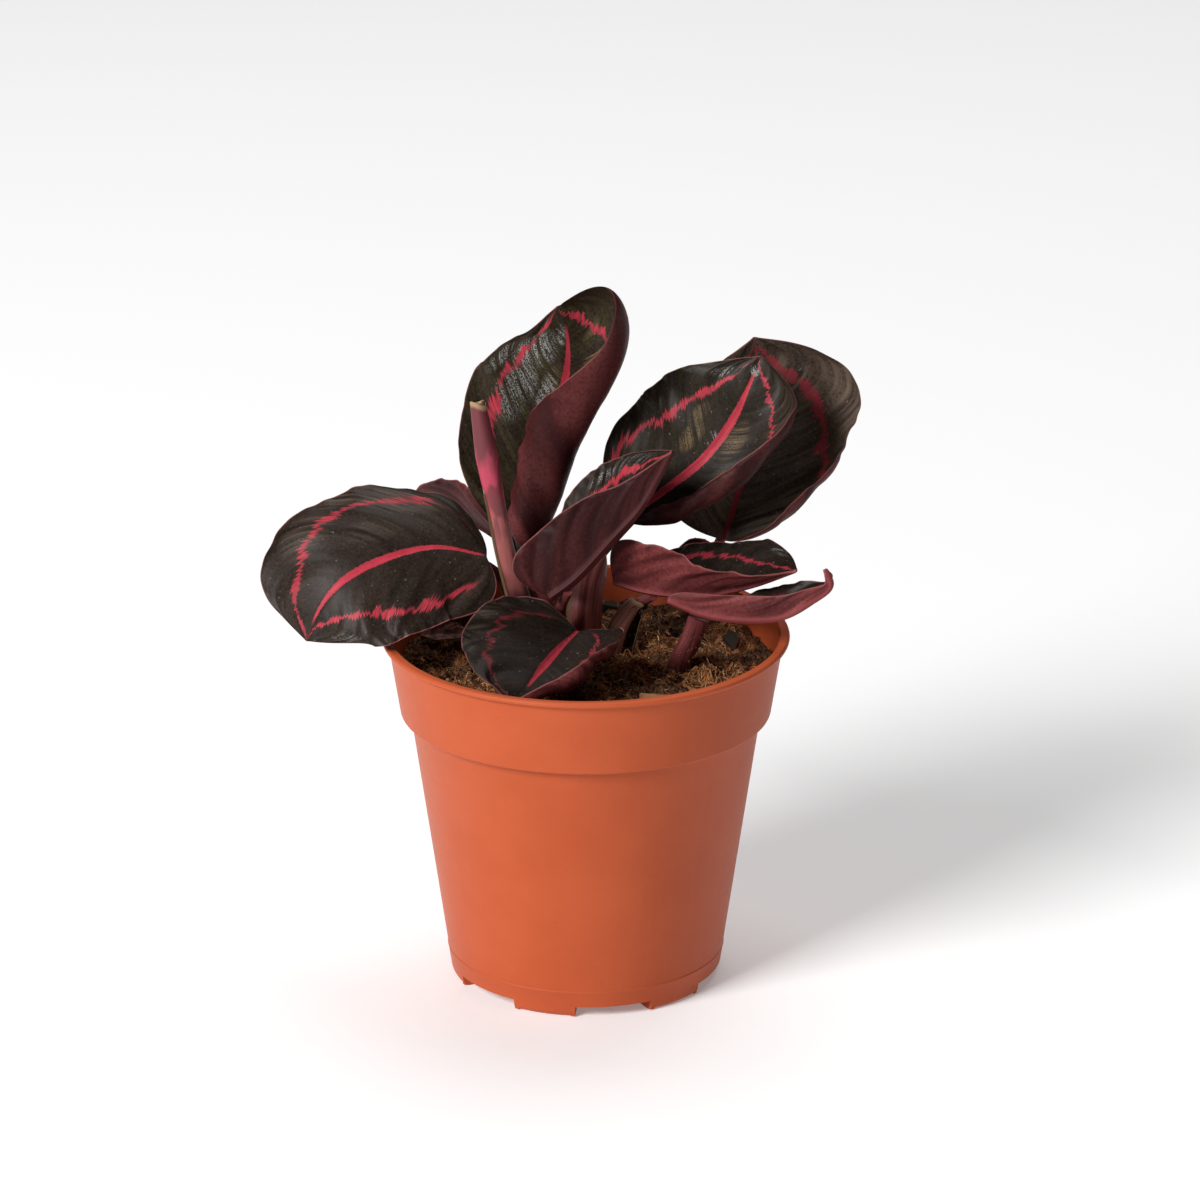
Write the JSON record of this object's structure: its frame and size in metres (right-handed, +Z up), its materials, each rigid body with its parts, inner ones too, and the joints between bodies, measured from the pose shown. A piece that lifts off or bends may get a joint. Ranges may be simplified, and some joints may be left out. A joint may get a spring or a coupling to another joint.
{
  "type": "potted calathea",
  "caption": "Young rose-painted calathea with dark arching leaves, pink midribs and maroon undersides, growing in a tapered round plastic nursery pot of soil",
  "frame": {"origin": "middle of the flat underside of the pot, on the pot's axis", "axes": "+Z up along the pot's axis, -Y towards the viewer of the picture, +X to the viewer's right"},
  "size_m": [0.1554, 0.1075, 0.1828],
  "materials": {
    "blade": "glossy near-black green above with rose lines, maroon below",
    "stem": "satin maroon with fine hairs",
    "rolled": "satin rose and maroon",
    "withered": "dry and matt",
    "pot": "satin terracotta-coloured plastic",
    "soil": "loose peat with fibres and bark"
  },
  "bodies": {
    "root": {"leaf_left": "blade", "leaf_tall": "blade", "leaf_centre": "blade", "leaf_right": "blade", "leaf_far_right": "blade", "leaf_low_upper": "blade", "leaf_low_lower": "blade", "leaf_front": "blade", "leaf_back_left": "blade", "leaf_small_back": "blade", "leaf_rolled": "rolled", "leaf_withered": "withered", "stem_left": "stem", "stem_tall": "stem", "stem_centre": "stem", "stem_right": "stem", "stem_far_right": "stem", "stem_low_upper": "stem", "stem_low_lower": "stem", "stem_front": "stem", "stem_back_left": "stem", "stem_small_back": "stem", "stub": "withered", "pot": "pot", "soil": "soil"}
  },
  "joints": []
}
